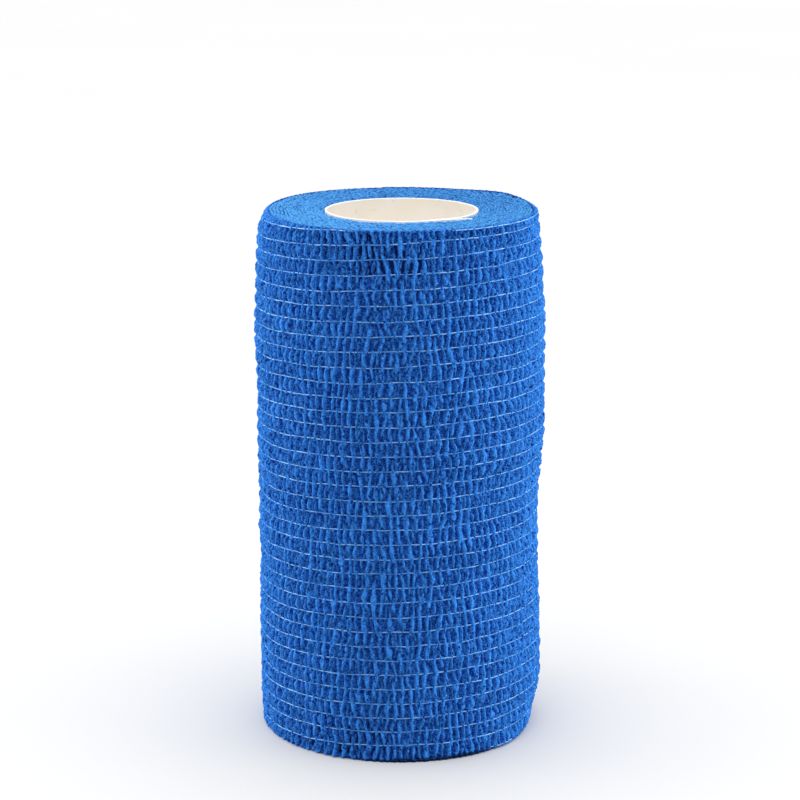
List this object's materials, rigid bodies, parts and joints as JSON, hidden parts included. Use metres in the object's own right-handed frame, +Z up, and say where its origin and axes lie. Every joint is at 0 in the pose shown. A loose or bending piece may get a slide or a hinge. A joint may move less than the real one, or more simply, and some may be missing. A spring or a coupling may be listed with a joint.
{
  "type": "cohesive bandage roll",
  "caption": "Roll of blue crinkled self-adherent elastic bandage, wound on a tube of white card and standing on one end.",
  "frame": {"origin": "centre of the roll's lower end, on the surface that it stands on", "axes": "+Z up along the roll's axis, -Y the side that the picture shows, +X its right"},
  "size_m": [0.0551, 0.055, 0.1],
  "materials": {
    "bandage": "matte crinkled nonwoven",
    "elastic_thread": "pale thread, slightly shiny",
    "card": "smooth white card, cream inside"
  },
  "bodies": {
    "root": {"bandage_roll": "bandage", "core": "card"}
  },
  "joints": []
}
